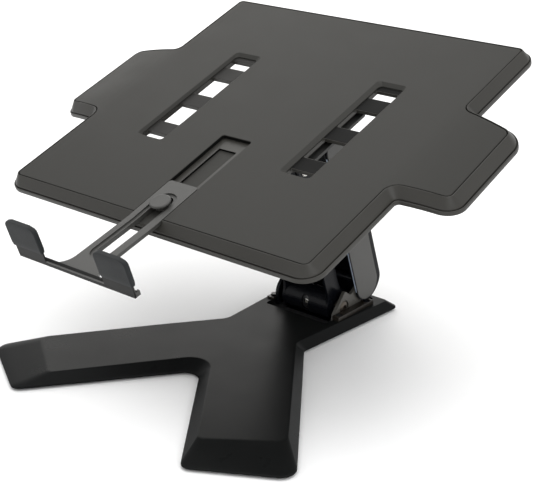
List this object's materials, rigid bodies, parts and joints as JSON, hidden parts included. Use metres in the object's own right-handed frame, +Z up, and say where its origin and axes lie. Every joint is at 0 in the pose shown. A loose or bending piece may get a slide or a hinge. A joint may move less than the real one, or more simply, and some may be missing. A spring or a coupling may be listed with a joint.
{
  "type": "notebook lift stand",
  "caption": "Notebook lift stand: plus-shaped tilting tray with long slots and a sliding padded stop, on a spring-balanced parallelogram arm and a Y-shaped weighted base.",
  "frame": {"origin": "on the floor, under the middle of the stand's bounding box", "axes": "+X to the user's right, +Y away from the user, +Z up"},
  "size_m": [0.4036, 0.3722, 0.2512],
  "materials": {
    "charcoal_plastic": "fine texture, satin",
    "satin_black_steel": "satin black powder coat",
    "base_plastic": "satin",
    "cover_plastic": "satin",
    "rubber": "matt",
    "zinc_steel": "zinc plated",
    "raw_steel": "dark oxide",
    "nylon": "natural nylon"
  },
  "bodies": {
    "base": {"base_cover": "base_plastic", "weight_plate": "raw_steel", "bottom_pan": "satin_black_steel", "foot_front_left": "rubber", "foot_front_right": "rubber", "foot_rear_left": "rubber", "foot_rear_right": "rubber", "foot_centre": "rubber", "hinge_bracket": "cover_plastic", "flange_screw_1": "zinc_steel", "flange_screw_2": "zinc_steel", "flange_screw_3": "zinc_steel", "flange_screw_4": "zinc_steel", "lift_bolt": "zinc_steel", "lift_nut": "zinc_steel", "rear_pivot_pin": "zinc_steel"},
    "lower_arm": {"lower_link": "satin_black_steel", "lift_bush_left": "nylon", "lift_bush_right": "nylon", "lift_spring_left": "zinc_steel", "lift_spring_right": "zinc_steel", "tension_collar": "raw_steel"},
    "tension": {"tension_screw": "zinc_steel"},
    "rear_arm": {"rear_link": "satin_black_steel", "arm_cover": "cover_plastic", "cover_screw_1": "raw_steel", "cover_screw_2": "raw_steel"},
    "head": {"head_block": "satin_black_steel", "head_front_pin": "zinc_steel", "head_rear_pin": "zinc_steel"},
    "tray": {"tray_frame": "charcoal_plastic", "tray_panel": "charcoal_plastic", "tray_plate": "satin_black_steel", "plate_screw_1": "zinc_steel", "plate_screw_2": "zinc_steel", "plate_screw_3": "zinc_steel", "plate_screw_4": "zinc_steel", "tilt_bolt": "zinc_steel", "tilt_nut": "zinc_steel", "tilt_washer_left": "nylon", "tilt_washer_right": "nylon", "clamp_nut": "zinc_steel"},
    "stop": {"stop_arm": "charcoal_plastic", "stop_pad_left": "rubber", "stop_pad_right": "rubber"},
    "clamp": {"clamp_knob": "charcoal_plastic", "clamp_screw": "zinc_steel"}
  },
  "joints": [
    {"name": "lift", "type": "hinge", "parent": "base", "child": "lower_arm", "pos_m": [0, 0.1022, 0.0175], "axis": [1, 0, 0], "range_deg": [-11, 56]},
    {"name": "rear_pivot", "type": "hinge", "parent": "base", "child": "rear_arm", "pos_m": [0, 0.132, 0.0315], "axis": [1, 0, 0], "range_deg": [-11, 56]},
    {"name": "head_pivot", "type": "hinge", "parent": "lower_arm", "child": "head", "pos_m": [0, 0.05413, 0.15324], "axis": [1, 0, 0], "range_deg": [-56, 11]},
    {"name": "tray_tilt", "type": "hinge", "parent": "head", "child": "tray", "pos_m": [0, 0.07194, 0.18753], "axis": [1, 0, 0], "range_deg": [-19.8, 3]},
    {"name": "stop_slide", "type": "slide", "parent": "tray", "child": "stop", "axis": [0, 0.9409, 0.3387], "range_m": [-0.004, 0.054]},
    {"name": "knob_turn", "type": "hinge", "parent": "tray", "child": "clamp", "pos_m": [0, -0.08697, 0.15689], "axis": [0, -0.3387, 0.9409], "range_deg": [-180, 180]},
    {"name": "tension_turn", "type": "hinge", "parent": "lower_arm", "child": "tension", "pos_m": [0, 0.1022, 0.0175], "axis": [0, -1, 0], "range_deg": [-360, 360]}
  ],
  "couplings": [
    {"joint": "rear_pivot", "follows": "lift", "ratio": 1},
    {"joint": "head_pivot", "follows": "lift", "ratio": -1}
  ]
}
